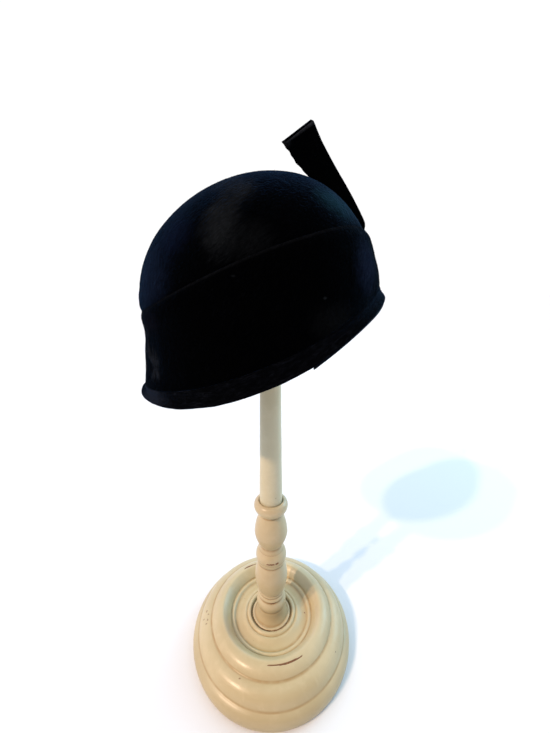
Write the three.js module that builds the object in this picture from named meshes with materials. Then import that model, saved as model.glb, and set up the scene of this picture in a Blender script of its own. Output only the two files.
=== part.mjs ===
// A small black fur-felt cocktail hat on a turned and painted wooden hat stand.
// Millimetres, +Z up. The origin is the centre of the stand's flat underside, and the hat faces -Y.

import * as THREE from 'three';

// ---- Driving dimensions ----

const FELT = 1.9; // thickness of one layer of felt
const GAP = 0.35; // clearance between pieces that touch
const BAND_LIFT = 0.8; // how far the drape stands off the crown, so that their facets stay apart
const RING_STEPS = 60; // facets round the felt pieces
const TURN_STEPS = 28; // facets round the turned pieces
const BASE_STEPS = 36; // facets round the wide base

// The crown is an egg of level sections about an upright line: a skirt below, and a dome above.
const CENTRE_Y = 0.4;
const DOME_Z = 383.5; // where the dome springs from
const DOME_RISE = 87.2;
const DOME_LEAN = 1.8; // how far back its top leans

// Reach of the skirt from that line at three levels, counted down from the foot of the dome.
const REACH = [
  { drop: 0, front: 101.4, side: 77.8, back: 88 },
  { drop: 35, front: 99.6, side: 83.8, back: 91.4 },
  { drop: 70, front: 102.8, side: 80.6, back: 94.4 },
];
// Roundness of the dome: 2 is an ellipse, less is more pointed and more is squarer.
const DOME = { front: 1.93, side: 2.41, back: 1.8 };

// Heights of the lines that run round the hat, and how far each one dips between front and side.
const CREASE = { front: 317, side: 357, back: 396.3, sweep: 3.9 };
const DRAPE_TOP = { front: 372.6, side: 422, back: 425.6, sweep: 0 };
const BRIM_EDGE = { front: 310.8, side: 344, back: 386.1, sweep: 12.3 };
// Reach of the brim's edge; its back half is a little pointed.
const BRIM_REACH = { front: 108.8, side: 89.2, back: 97, frontPower: 1.97, backPower: 1.89 };

// The drape is pinched at the front into folds that cross in an X. A fold leaves the pinch at an angle counted
// from the wearer's left, anticlockwise seen from in front, runs for its reach and stands proud by its rise.
const PINCH = { turn: 20, z: 337, hollow: 1.6, hollowWidth: 5 };
const PINCH_FOLDS = [
  { angle: 40, reach: 20, rise: 1.7, width: 3.2 },
  { angle: 128, reach: 26, rise: 1.9, width: 3.4 },
  { angle: -40, reach: 18, rise: 1.5, width: 3.2 },
  { angle: -98, reach: 24, rise: 1.7, width: 3.6 },
  { angle: 176, reach: 72, rise: 3, width: 8 },
];

// The tab is a strip folded along its rear edge, standing on the centre back. Each row is one section of it,
// from the foot to the tip, by its inner raw edges and its fold.
const TAB_LAYER = 1.5;
const TAB_OPENING = 0.9; // room between the two layers
const TAB_SECTIONS = [
  { innerY: 75, innerZ: 428.4, foldY: 82.8, foldZ: 429 },
  { innerY: 67.8, innerZ: 441.8, foldY: 88.4, foldZ: 441 },
  { innerY: 56, innerZ: 454.6, foldY: 82.6, foldZ: 451.8 },
  { innerY: 42, innerZ: 468.8, foldY: 67.6, foldZ: 470.2 },
  { innerY: 28, innerZ: 479, foldY: 52.2, foldZ: 488 },
  { innerY: 17.8, innerZ: 489, foldY: 42.8, foldZ: 500.2 },
  { innerY: 11.9, innerZ: 496, foldY: 34.9, foldZ: 513.2 },
];

// The ribbon lines the brim's edge from one side round the back to the other, and shows a little below it.
const RIBBON = { start: 89, steps: 38, thickness: 1, tall: 7, below: 1.7 };

// ---- Turned outlines of the stand ----
// Each row ends one stretch of the cut, in order round the outline from the axis. r and z are where it ends, and
// bulge is how far its middle stands proud of a straight cut, or is hollowed if negative.

const SOCKET_R = 22.9;
const SOCKET_Z = 16;
const BASE_OUTLINE = [
  { r: 0, z: 0, bulge: 0 },
  { r: 85.3, z: 0, bulge: 0 },
  { r: 88.3, z: 7, bulge: 0.8 },
  { r: 83.2, z: 17.2, bulge: 1.7 },
  { r: 81.8, z: 17.9, bulge: 0 },
  { r: 81.1, z: 19.7, bulge: 0 },
  { r: 67.1, z: 31.2, bulge: 3 },
  { r: 65.9, z: 33.1, bulge: 0 },
  { r: 54.5, z: 39.6, bulge: 1.6 },
  { r: 45.3, z: 29.2, bulge: 1.1 },
  { r: 41, z: 28.6, bulge: 1.5 },
  { r: 40.4, z: 27.9, bulge: 0 },
  { r: 31, z: 30.2, bulge: -0.8 },
  { r: 28.2, z: 30.5, bulge: 0.4 },
  { r: 27.5, z: 29.6, bulge: 0 },
  { r: 23.5, z: 31.8, bulge: 1.3 },
  { r: SOCKET_R, z: 29.5, bulge: 0 },
  { r: SOCKET_R, z: SOCKET_Z, bulge: 0 },
  { r: 0, z: SOCKET_Z, bulge: 0 },
];

const COLLAR_MOUTH_Z = 179.4;
const DOWEL_HOLE_Z = 171;
const DOWEL_HOLE_R = 11.9;
const STEM_OUTLINE = [
  { r: 0, z: SOCKET_Z + GAP, bulge: 0 },
  { r: SOCKET_R - GAP, z: SOCKET_Z + GAP, bulge: 0 },
  { r: SOCKET_R - GAP, z: 22, bulge: 0 },
  { r: 21.3, z: 23.6, bulge: 0 },
  { r: 21.3, z: 29.6, bulge: 0 },
  { r: 18.4, z: 29.8, bulge: 0.9 },
  { r: 18, z: 30.6, bulge: 0 },
  { r: 14.9, z: 42.4, bulge: -0.9 },
  { r: 14.5, z: 44.6, bulge: 0 },
  { r: 13.6, z: 57, bulge: 2.1 },
  { r: 13.2, z: 58, bulge: 0 },
  { r: 13.4, z: 62.8, bulge: 1.2 },
  { r: 13.1, z: 63.4, bulge: 0 },
  { r: 12.9, z: 66.6, bulge: 0.8 },
  { r: 15.6, z: 72, bulge: 0.6 },
  { r: 14, z: 103.2, bulge: 2.6 },
  { r: 13.8, z: 104.2, bulge: 0 },
  { r: 15.6, z: 109.4, bulge: 0.6 },
  { r: 15.5, z: 109.8, bulge: 0 },
  { r: 16.4, z: 113, bulge: 0.1 },
  { r: 16.1, z: 113.4, bulge: 0 },
  { r: 13.2, z: 120.6, bulge: 0.7 },
  { r: 12.8, z: 121.2, bulge: 0 },
  { r: 11.3, z: 126.4, bulge: -0.2 },
  { r: 17.3, z: 142.6, bulge: 1.2 },
  { r: 11.2, z: 165.6, bulge: 1.2 },
  { r: 17.4, z: 174, bulge: 1.45 },
  { r: 13.2, z: 180.4, bulge: 1.25 },
  { r: DOWEL_HOLE_R, z: COLLAR_MOUTH_Z, bulge: 0.3 },
  { r: DOWEL_HOLE_R, z: DOWEL_HOLE_Z, bulge: 0 },
  { r: 0, z: DOWEL_HOLE_Z, bulge: 0 },
];

const HEAD_HOLE_R = 9.6;
const DOWEL_TOP_Z = 455;
const DOWEL_OUTLINE = [
  { r: 0, z: DOWEL_HOLE_Z + GAP, bulge: 0 },
  { r: DOWEL_HOLE_R - GAP, z: DOWEL_HOLE_Z + GAP, bulge: 0 },
  { r: 11.5, z: 189, bulge: 0 },
  { r: 9.9, z: 298, bulge: -0.1 },
  { r: HEAD_HOLE_R - GAP, z: 430, bulge: 0 },
  { r: HEAD_HOLE_R - GAP, z: DOWEL_TOP_Z, bulge: 0 },
  { r: 0, z: DOWEL_TOP_Z, bulge: 0 },
];

// The head is a plain low dome that fills the very top of the crown.
const HEAD_OUTLINE = [
  { r: 0, z: DOWEL_TOP_Z + GAP, bulge: 0 },
  { r: HEAD_HOLE_R, z: DOWEL_TOP_Z + GAP, bulge: 0 },
  { r: HEAD_HOLE_R, z: 438, bulge: 0 },
  { r: 37, z: 438, bulge: 0 },
  { r: 40.6, z: 451, bulge: 2.5 },
  { r: 0, z: 468.2, bulge: 4 },
];
const ARC_STEPS = 6; // cuts in a strongly curved stretch
const FLAT_BULGE = 1; // a stretch that bulges less than this takes half of them

// ---- Materials ----

const feltColour = (colour) => new THREE.MeshStandardMaterial({ color: colour, roughness: 0.92, metalness: 0 });
const paintColour = (colour) => new THREE.MeshStandardMaterial({ color: colour, roughness: 0.35, metalness: 0 });

// ---- Geometry helpers ----

function turned(outline, steps) {
  const points = [new THREE.Vector2(outline[0].r, outline[0].z)];
  for (let row = 1; row < outline.length; row += 1) {
    const from = outline[row - 1];
    const to = outline[row];
    const along = new THREE.Vector2(to.r - from.r, to.z - from.z);
    const proud = new THREE.Vector2(along.y, -along.x).normalize().multiplyScalar(to.bulge);
    let cuts = 1;
    if (to.bulge !== 0) cuts = Math.abs(to.bulge) < FLAT_BULGE ? ARC_STEPS / 2 : ARC_STEPS;
    for (let cut = 1; cut <= cuts; cut += 1) {
      const part = cut / cuts;
      const height = 4 * part * (1 - part);
      points.push(new THREE.Vector2(
        from.r + along.x * part + proud.x * height,
        from.z + along.y * part + proud.y * height,
      ));
    }
  }
  return new THREE.LatheGeometry(points, steps).rotateX(Math.PI / 2);
}

// A felt wall between two skins of matching points: rows run up it and columns run along it. A ring closes its
// columns on themselves, and a dome also closes each skin on one top point.
function feltWall(outer, inner, { ring = false, tops = null } = {}) {
  const rows = outer.length;
  const columns = outer[0].length;
  const spans = ring ? columns : columns - 1;
  const corners = [...outer.flat(), ...inner.flat(), ...(tops ?? [])];
  const faces = [];
  const at = (skin, row, column) => (skin * rows + row) * columns + (column % columns);
  const quad = (a, b, c, d) => faces.push(a, b, c, a, c, d);
  for (let row = 0; row + 1 < rows; row += 1) {
    for (let column = 0; column < spans; column += 1) {
      const next = column + 1;
      quad(at(0, row, column), at(0, row, next), at(0, row + 1, next), at(0, row + 1, column));
      quad(at(1, row, column), at(1, row + 1, column), at(1, row + 1, next), at(1, row, next));
    }
    if (!ring) {
      quad(at(0, row, 0), at(0, row + 1, 0), at(1, row + 1, 0), at(1, row, 0));
      quad(at(0, row, spans), at(1, row, spans), at(1, row + 1, spans), at(0, row + 1, spans));
    }
  }
  const last = rows - 1;
  const outerTop = 2 * rows * columns;
  for (let column = 0; column < spans; column += 1) {
    const next = column + 1;
    quad(at(0, 0, next), at(0, 0, column), at(1, 0, column), at(1, 0, next));
    if (tops) {
      faces.push(at(0, last, column), at(0, last, next), outerTop);
      faces.push(at(1, last, next), at(1, last, column), outerTop + 1);
    } else {
      quad(at(0, last, column), at(0, last, next), at(1, last, next), at(1, last, column));
    }
  }
  const geometry = new THREE.BufferGeometry();
  geometry.setAttribute('position', new THREE.Float32BufferAttribute(corners.flatMap((p) => p.toArray()), 3));
  geometry.setIndex(faces);
  geometry.computeVertexNormals();
  return geometry;
}

// ---- Shape of the hat ----
// A turn is an angle round the hat in degrees: 0 is the front, 90 the wearer's left and 180 the back.

const degrees = THREE.MathUtils.degToRad;

// The height of a line round the hat at a turn.
function lineHeight(line, turn) {
  const c = Math.cos(degrees(turn));
  const tilt = (line.front - line.back) / 2;
  const bow = (line.front + line.back) / 2 - line.side;
  return line.side + tilt * c + bow * c * c + line.sweep * (c ** 3 - c);
}

// The skirt's reach at a drop below the dome, on the parabola through the three levels.
function reachAt(column, drop) {
  const [top, middle, bottom] = REACH;
  const first = (middle[column] - top[column]) / middle.drop;
  const second = (bottom[column] - top[column]) / bottom.drop;
  const curve = (second - first) / (bottom.drop - middle.drop);
  return top[column] + drop * (first + curve * (drop - middle.drop));
}

// A point on the crown's surface, or on a skin that stands off it by lift.
function crownPoint(turn, z, lift) {
  const s = Math.sin(degrees(turn));
  const c = Math.cos(degrees(turn));
  const towards = c > 0 ? 'front' : 'back';
  const power = DOME.side + (DOME[towards] - DOME.side) * c * c;
  const rise = THREE.MathUtils.clamp((z - DOME_Z) / (DOME_RISE + Math.min(lift, 0)), 0, 1);
  const shrink = (1 - rise ** power) ** (1 / power);
  const drop = Math.max(DOME_Z - z, 0);
  const x = (reachAt('side', drop) + lift) * s * shrink;
  const y = -(reachAt(towards, drop) + lift) * c * shrink + DOME_LEAN * rise + CENTRE_Y;
  return new THREE.Vector3(x, y, z);
}

// How far the pinch pushes the drape out or in at a turn and height, in mm.
function pinchRise(turn, z) {
  const across = degrees(turn - PINCH.turn) * REACH[1].front;
  const up = z - PINCH.z;
  const distance = Math.hypot(across, up);
  let rise = -PINCH.hollow * Math.exp(-((distance / PINCH.hollowWidth) ** 2));
  for (const fold of PINCH_FOLDS) {
    const along = across * Math.cos(degrees(fold.angle)) + up * Math.sin(degrees(fold.angle));
    const beside = up * Math.cos(degrees(fold.angle)) - across * Math.sin(degrees(fold.angle));
    if (along > 0 && along < fold.reach) {
      const ridge = Math.exp(-((beside / fold.width) ** 2));
      rise += fold.rise * Math.sin((along / fold.reach) * Math.PI) * ridge;
    }
  }
  return rise;
}

// A point on the brim's edge.
function brimEdgePoint(turn) {
  const s = Math.sin(degrees(turn));
  const c = Math.cos(degrees(turn));
  const power = 2 / (c > 0 ? BRIM_REACH.frontPower : BRIM_REACH.backPower);
  const reach = c > 0 ? BRIM_REACH.front : BRIM_REACH.back;
  const x = BRIM_REACH.side * Math.sign(s) * Math.abs(s) ** power;
  const y = -reach * Math.sign(c) * Math.abs(c) ** power + CENTRE_Y;
  return new THREE.Vector3(x, y, lineHeight(BRIM_EDGE, turn));
}

// A point moved out from the hat's centre line and up.
function shifted(point, out, up) {
  const flat = new THREE.Vector3(point.x, point.y - CENTRE_Y, 0).normalize();
  return point.clone().addScaledVector(flat, out).setZ(point.z + up);
}

const evenly = (count, make) => Array.from({ length: count }, (_, index) => make(index));
const evenTurns = evenly(RING_STEPS, (index) => (360 * index) / RING_STEPS);

// ---- The hat's pieces ----

function crown() {
  const rows = 15;
  const skin = (lift) => evenly(rows, (row) => evenTurns.map((turn) => {
    const low = lineHeight(CREASE, turn) + GAP;
    const high = DOME_Z + DOME_RISE + Math.min(lift, 0);
    const climb = Math.sin((row / rows) * (Math.PI / 2));
    return crownPoint(turn, low + (high - low) * climb, lift);
  }));
  const top = new THREE.Vector3(0, CENTRE_Y + DOME_LEAN, DOME_Z + DOME_RISE);
  const under = top.clone().setZ(top.z - FELT);
  return feltWall(skin(0), skin(-FELT), { ring: true, tops: [top, under] });
}

function drape() {
  const rows = 11;
  const fineStep = 3; // degrees between columns at the pinch
  const fineReach = 30; // degrees either side of it
  const fineTurns = evenly((2 * fineReach) / fineStep, (index) => PINCH.turn - fineReach + index * fineStep);
  const coarseTurns = evenTurns
    .map((turn) => turn + PINCH.turn + fineReach)
    .filter((turn) => turn < 360 + PINCH.turn - fineReach);
  const skin = (lift) => evenly(rows, (row) => [...fineTurns, ...coarseTurns].map((turn) => {
    const low = lineHeight(CREASE, turn) + GAP;
    const high = lineHeight(DRAPE_TOP, turn);
    const z = low + ((high - low) * row) / (rows - 1);
    return crownPoint(turn, z, BAND_LIFT + lift + Math.max(pinchRise(turn, z), -lift / 2));
  }));
  return feltWall(skin(FELT), skin(0), { ring: true });
}

// The brim's slope at a turn, as a function of the distance up it from the edge and the depth in from its upper face.
function brimSlope(turn) {
  const root = crownPoint(turn, lineHeight(CREASE, turn), BAND_LIFT + FELT);
  const edge = brimEdgePoint(turn);
  const flare = Math.hypot(edge.x, edge.y - CENTRE_Y) - Math.hypot(root.x, root.y - CENTRE_Y);
  const climb = root.z - edge.z;
  const width = Math.hypot(flare, climb);
  const pointAt = (up, depth) => {
    const point = edge.clone().lerp(root, up / width);
    return shifted(point, (-depth * climb) / width, (-depth * flare) / width);
  };
  return { width, pointAt };
}

function brim() {
  const rows = 4;
  const skin = (depth) => evenly(rows, (row) => evenTurns.map((turn) => {
    const slope = brimSlope(turn);
    return slope.pointAt((slope.width * row) / (rows - 1), depth);
  }));
  return feltWall(skin(0), skin(FELT), { ring: true });
}

function edgeRibbon() {
  const rows = 3;
  const skin = (depth) => evenly(rows, (row) => evenly(RIBBON.steps + 1, (index) => {
    const turn = RIBBON.start + ((360 - 2 * RIBBON.start) * index) / RIBBON.steps;
    return brimSlope(turn).pointAt((RIBBON.tall * row) / (rows - 1) - RIBBON.below, FELT + GAP + depth);
  }));
  return feltWall(skin(0), skin(RIBBON.thickness));
}

function tab() {
  const half = TAB_OPENING / 2;
  // Across the strip: one raw edge, the fold, the other raw edge. part is how far from raw edge to fold.
  const across = [
    { part: 0, side: 1 },
    { part: 0.5, side: 1 },
    { part: 0.94, side: 1 },
    { part: 1, side: 0 },
    { part: 0.94, side: -1 },
    { part: 0.5, side: -1 },
    { part: 0, side: -1 },
  ];
  const skin = (layer) => TAB_SECTIONS.map((section) => across.map(({ part, side }) => {
    const y = THREE.MathUtils.lerp(section.innerY, section.foldY, part);
    const z = THREE.MathUtils.lerp(section.innerZ, section.foldZ, part);
    const width = Math.hypot(section.foldY - section.innerY, section.foldZ - section.innerZ);
    const backOff = side === 0 ? layer / width : 0;
    return new THREE.Vector3(
      side * (half + TAB_LAYER - layer),
      y - (section.foldY - section.innerY) * backOff,
      z - (section.foldZ - section.innerZ) * backOff,
    );
  }));
  return feltWall(skin(0), skin(TAB_LAYER));
}

// ---- Assembly ----

function piece(name, geometry, material) {
  const mesh = new THREE.Mesh(geometry, material);
  mesh.name = name;
  return mesh;
}

const stand = new THREE.Group();
stand.add(
  piece('stand_base', turned(BASE_OUTLINE, BASE_STEPS), paintColour(0xe6dabc)),
  piece('stand_stem', turned(STEM_OUTLINE, TURN_STEPS), paintColour(0xe3d5b6)),
  piece('stand_dowel', turned(DOWEL_OUTLINE, TURN_STEPS), paintColour(0xddd2b4)),
  piece('stand_head', turned(HEAD_OUTLINE, TURN_STEPS), paintColour(0xd8ccae)),
);

const hat = new THREE.Group();
hat.add(
  piece('crown', crown(), feltColour(0x17171d)),
  piece('side_drape', drape(), feltColour(0x15151b)),
  piece('brim', brim(), feltColour(0x16161f)),
  piece('edge_ribbon', edgeRibbon(), feltColour(0x0e0e14)),
  piece('back_tab', tab(), feltColour(0x1a1824)),
);

const part = new THREE.Group();
part.add(stand, hat);

export default part;
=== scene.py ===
# A small black fur-felt cocktail hat on a turned, cream-painted wooden hat stand.
# Shapes are worked out in millimetres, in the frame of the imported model, and made in metres.
import math

import bpy
import numpy as np
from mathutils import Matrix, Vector


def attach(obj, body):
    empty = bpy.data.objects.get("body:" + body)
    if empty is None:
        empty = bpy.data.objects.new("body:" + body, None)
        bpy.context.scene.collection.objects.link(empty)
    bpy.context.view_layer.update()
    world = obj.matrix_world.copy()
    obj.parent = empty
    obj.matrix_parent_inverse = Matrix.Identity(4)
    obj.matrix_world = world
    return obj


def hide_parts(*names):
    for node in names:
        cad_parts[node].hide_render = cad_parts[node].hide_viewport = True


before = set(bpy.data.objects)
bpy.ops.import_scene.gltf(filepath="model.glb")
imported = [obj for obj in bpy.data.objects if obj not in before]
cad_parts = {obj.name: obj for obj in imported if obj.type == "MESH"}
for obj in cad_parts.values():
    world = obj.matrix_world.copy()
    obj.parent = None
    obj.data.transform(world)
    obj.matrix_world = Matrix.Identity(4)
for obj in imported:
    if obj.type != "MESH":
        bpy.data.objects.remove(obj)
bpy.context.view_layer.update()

MM = 0.001

# ---- Driving dimensions, in millimetres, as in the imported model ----

FELT = 1.9
GAP = 0.35
BAND_LIFT = 0.8
CENTRE_Y = 0.4
DOME_Z = 383.5
DOME_RISE = 87.2
DOME_LEAN = 1.8
REACH_DROPS = (0.0, 35.0, 70.0)
REACH = {
    "front": (101.4, 99.6, 102.8),
    "side": (77.8, 83.8, 80.6),
    "back": (88.0, 91.4, 94.4),
}
# A soft dent in the crown at the back, and the swell of the crown over the drape's top edge at the front.
DENT = {"turn": 158.0, "z": 414.0, "depth": 1.5, "half_turn": 24.0, "half_tall": 11.0}
SWELL = {"turn": -20.0, "rise": 2.4, "up": 3.5, "above": 9.0, "below": 4.0, "half_round": 0.7}
DOME = {"front": 1.93, "side": 2.41, "back": 1.8}
CREASE = {"front": 317.0, "side": 357.0, "back": 396.3, "sweep": 3.9}
DRAPE_TOP = {"front": 372.6, "side": 422.0, "back": 425.6, "sweep": 0.0}
BRIM_EDGE = {"front": 310.8, "side": 344.0, "back": 386.1, "sweep": 12.3}
BRIM_REACH = {"front": 108.8, "side": 89.2, "back": 97.0}
BRIM_POWER = {"front": 1.97, "back": 1.89}
# How far the brim sags between its edge and its root: all round, and further at the front.
BRIM_SAG = {"round": 0.7, "front": 1.3}
RIBBON = {"start": 89, "thickness": 1.0, "tall": 7.0, "below": 1.7}
# The radius at which distances round the brim and the ribbon are counted for their nap and ribs.
NAP_ROUND = 95
TAB_LAYER = 1.5
TAB_OPENING = 0.9
# At the tip, the near layer stops short, the far one runs on, both part, and the near corner curls out.
TAB_TIP = {"short": 0.8, "longer": 1.6, "parting": 0.7, "curl": 1.3}
# Sections of the tab from its foot to its tip: y and z of its inner raw edges, and of its fold.
TAB_SECTIONS = [
    (75.0, 428.4, 82.8, 429.0),
    (67.8, 441.8, 88.4, 441.0),
    (56.0, 454.6, 82.6, 451.8),
    (42.0, 468.8, 67.6, 470.2),
    (28.0, 479.0, 52.2, 488.0),
    (17.8, 489.0, 42.8, 500.2),
    (11.9, 496.0, 34.9, 513.2),
]

SOCKET_R = 22.9
SOCKET_Z = 16.0
COLLAR_MOUTH_Z = 179.4
DOWEL_HOLE_Z = 171.0
DOWEL_HOLE_R = 11.9
HEAD_HOLE_R = 9.6
DOWEL_TOP_Z = 455.0
# Turned outlines: each row ends one stretch of the cut, by reach, height, and how far its middle bulges.
BASE_OUTLINE = [
    (0, 0, 0), (85.3, 0, 0), (88.3, 7, 0.8), (83.2, 17.2, 1.7), (81.8, 17.9, 0), (81.1, 19.7, 0),
    (67.1, 31.2, 3), (65.9, 33.1, 0), (54.5, 39.6, 1.6), (45.3, 29.2, 1.1), (41, 28.6, 1.5),
    (40.4, 27.9, 0), (31, 30.2, -0.8), (28.2, 30.5, 0.4), (27.5, 29.6, 0), (23.5, 31.8, 1.3),
    (SOCKET_R, 29.5, 0), (SOCKET_R, SOCKET_Z, 0), (0, SOCKET_Z, 0),
]
STEM_OUTLINE = [
    (0, SOCKET_Z + GAP, 0), (SOCKET_R - GAP, SOCKET_Z + GAP, 0), (SOCKET_R - GAP, 28, 0), (21.4, 28.8, 0),
    (21.3, 29.6, 0), (18.4, 29.8, 0.9), (18, 30.6, 0), (14.9, 42.4, -0.9), (14.5, 44.6, 0),
    (13.6, 57, 2.1), (13.2, 58, 0), (13.4, 62.8, 1.2), (13.1, 63.4, 0), (12.9, 66.6, 0.8),
    (15.6, 72, 0.6), (14, 103.2, 2.6), (13.8, 104.2, 0), (15.6, 109.4, 0.6), (15.5, 109.8, 0),
    (16.4, 113, 0.1), (16.1, 113.4, 0), (13.2, 120.6, 0.7), (12.8, 121.2, 0), (11.3, 126.4, -0.2),
    (17.3, 142.6, 1.2), (11.2, 165.6, 1.2), (17.4, 174, 1.45), (13.2, 180.4, 1.25),
    (DOWEL_HOLE_R, COLLAR_MOUTH_Z, 0.3), (DOWEL_HOLE_R, DOWEL_HOLE_Z, 0), (0, DOWEL_HOLE_Z, 0),
]
DOWEL_OUTLINE = [
    (0, DOWEL_HOLE_Z + GAP, 0), (DOWEL_HOLE_R - GAP, DOWEL_HOLE_Z + GAP, 0), (11.5, 189, 0),
    (9.9, 298, -0.1), (HEAD_HOLE_R - GAP, 430, 0), (HEAD_HOLE_R - GAP, DOWEL_TOP_Z, 0),
    (0, DOWEL_TOP_Z, 0),
]
HEAD_OUTLINE = [
    (0, DOWEL_TOP_Z + GAP, 0), (HEAD_HOLE_R, DOWEL_TOP_Z + GAP, 0), (HEAD_HOLE_R, 438, 0), (37, 438, 0),
    (40.6, 451, 2.5), (0, 468.2, 4),
]

# The pinch at the front of the drape. Across is measured round the drape towards the wearer's left, and up
# from the pinch. Each fold is a soft ridge from one place to another, with its rise and half width midway.
PINCH_TURN = 20.6
PINCH_Z = 337.0
PINCH_HOLLOW = {"depth": 1.2, "half_across": 10.0, "half_tall": 16.0}
# The drape's waist round the front, placed by turns from the pinch and by the distance under the top edge.
WAIST = {"turn": -25.0, "under_top": 18.0, "depth": 1.4, "half_turn": 38.0, "half_tall": 9.0}
PINCH_FOLDS = [
    # across, up, to across, to up, rise, half width
    (0.0, 0.0, -14.0, 10.0, 1.2, 2.6),
    (-8.0, 6.0, -17.0, 22.0, 0.8, 3.2),
    (-10.0, 20.0, -7.0, 29.0, 0.7, 2.6),
    (0.5, 1.0, 2.0, 12.0, 0.7, 1.2),
    (-2.5, 4.0, -3.5, 17.0, 0.5, 1.0),
    (1.0, 0.5, 7.5, 6.5, 0.7, 1.4),
    (0.5, -1.0, 9.0, -10.0, 0.9, 1.7),
    (-0.5, -2.0, -7.0, -12.0, 0.8, 1.8),
    (-1.0, -3.0, -1.5, -19.0, 0.5, 1.0),
    (2.0, -4.0, 3.5, -19.0, 0.5, 1.0),
]


# ---- Small helpers ----

def waves(points, spacing, seed, octaves=3):
    """A smooth seeded field, about -1 to 1, over points in mm, with bumps about spacing mm apart."""
    rng = np.random.default_rng(seed)
    total = np.zeros(len(points))
    strength = 0.0
    for octave in range(octaves):
        share = 0.55**octave
        strength += share
        for _ in range(7):
            direction = rng.normal(size=3)
            wavelength = spacing * rng.uniform(0.75, 1.4) / 2**octave
            direction *= 2 * math.pi / wavelength / np.linalg.norm(direction)
            total += share * np.sin(points @ direction + rng.uniform(0, 2 * math.pi))
    return total / (strength * 3.2)


def put(name, data):
    """A new object in the scene."""
    made = bpy.data.objects.new(name, data)
    bpy.context.scene.collection.objects.link(made)
    return made


def make_piece(name, points, faces, nodes=(), uv=None, fields=None):
    """A smooth-shaded piece from points in mm, riding on the root and standing for its CAD nodes."""
    mesh = bpy.data.meshes.new(name)
    mesh.from_pydata((np.asarray(points) * MM).tolist(), [], faces)
    mesh.shade_smooth()
    if uv is not None:
        layer = mesh.uv_layers.new(name="nap")
        corner_points = np.empty(len(mesh.loops), dtype=np.int32)
        mesh.loops.foreach_get("vertex_index", corner_points)
        layer.data.foreach_set("uv", np.asarray(uv, dtype=np.float32)[corner_points].ravel())
    for label, values in (fields or {}).items():
        attribute = mesh.attributes.new(label, "FLOAT", "POINT")
        attribute.data.foreach_set("value", np.asarray(values, dtype=np.float32))
    piece = put(name, mesh)
    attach(piece, "root")
    if nodes:
        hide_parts(*nodes)
    return piece


def grid_faces(rows, columns, wrap_rows=False, wrap_columns=True):
    """Quads over a grid of points stored row by row, facing the side where columns x rows points."""
    row = np.arange(rows if wrap_rows else rows - 1)[:, None]
    column = np.arange(columns if wrap_columns else columns - 1)[None, :]
    below = row * columns
    above = ((row + 1) % rows) * columns
    beside = (column + 1) % columns
    quads = np.stack([below + column, below + beside, above + beside, above + column], axis=-1)
    return quads.reshape(-1, 4).tolist()


# ---- Turned wood ----

def outline_points(outline, spacing):
    """Points about spacing mm apart along a turned outline, as columns of reach and height."""
    points = [np.array([outline[0][:2]], dtype=float)]
    for (r0, z0, _), (r1, z1, bulge) in zip(outline, outline[1:]):
        along = np.array([r1 - r0, z1 - z0], dtype=float)
        length = np.hypot(*along)
        proud = np.array([along[1], -along[0]]) / length * bulge
        part = np.linspace(0, 1, max(2, math.ceil(length / spacing) + 1))[1:, None]
        points.append(np.array([[r0, z0]]) + along * part + proud * 4 * part * (1 - part))
    return np.concatenate(points)


def softened(points, spread):
    """An outline whose corners are rounded, as sanding and paint leave them; spread counts points."""
    reach = math.ceil(3 * spread)
    weights = np.exp(-0.5 * (np.arange(-reach, reach + 1) / spread) ** 2)
    weights /= weights.sum()
    padded = np.pad(points, ((reach, reach), (0, 0)), mode="edge")
    smooth = np.stack([np.convolve(padded[:, axis], weights, "valid") for axis in (0, 1)], axis=1)
    smooth[[0, -1]] = points[[0, -1]]
    flat_foot = points[:, 1] == points[0, 1]
    smooth[flat_foot, 1] = points[0, 1]
    return smooth


def hollowness(points, reach):
    """How far each outline point lies below the middle of its neighbours within reach points, in mm."""
    along = np.gradient(points, axis=0)
    along /= np.linalg.norm(along, axis=1)[:, None] + 1e-9
    outward = np.stack([along[:, 1], -along[:, 0]], axis=1)
    padded = np.pad(points, ((reach, reach), (0, 0)), mode="edge")
    middle = sum(padded[shift:shift + len(points)] for shift in range(2 * reach + 1)) / (2 * reach + 1)
    return ((middle - points) * outward).sum(axis=1)


def wrapped(angle):
    return (angle + math.pi) % (2 * math.pi) - math.pi


def crack(reach, start, end, half_width, drift=0.0):
    """A split in the base's top that follows the turning between two polar angles, tapering to its ends."""
    middle = math.radians((start + end) / 2)
    half = math.radians(end - start) / 2

    def depth(radius, height, around):
        away = wrapped(around - middle)
        along = np.clip(np.abs(away) / half, 0, 1)
        ragged = 0.06 * np.sin(away * 31) + 0.04 * np.sin(away * 67 + 1)
        centre = reach + drift * away / half + ragged
        width = half_width * np.sqrt(1 - along**2) * (1 + 0.35 * away / half) + 1e-4
        inside = (along < 1) & (height > SOCKET_Z + 6)
        return np.where(inside, np.exp(-((radius - centre) / width) ** 4), 0.0)

    return depth


def chip(angle, height_at, half_round, half_tall, reach=None, strength=1.0):
    """A chip in the paint at a polar angle, by its height on the stem or its reach on the base.

    A weak one only tints the paint towards bare wood.
    """
    middle = math.radians(angle)

    def depth(radius, height, around):
        away = wrapped(around - middle) * radius
        across = height - height_at if reach is None else radius - reach
        above_foot = (height > 5) | (reach is None)
        ragged = 0.3 * np.sin(away * 2.3 + angle) + 0.2 * np.sin(away * 5.1 + across * 3)
        spot = np.exp(-np.maximum((away / half_round) ** 2 + (across / half_tall + ragged) ** 2, 0) ** 2)
        return np.where(above_foot, strength * spot, 0.0)

    return depth


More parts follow.
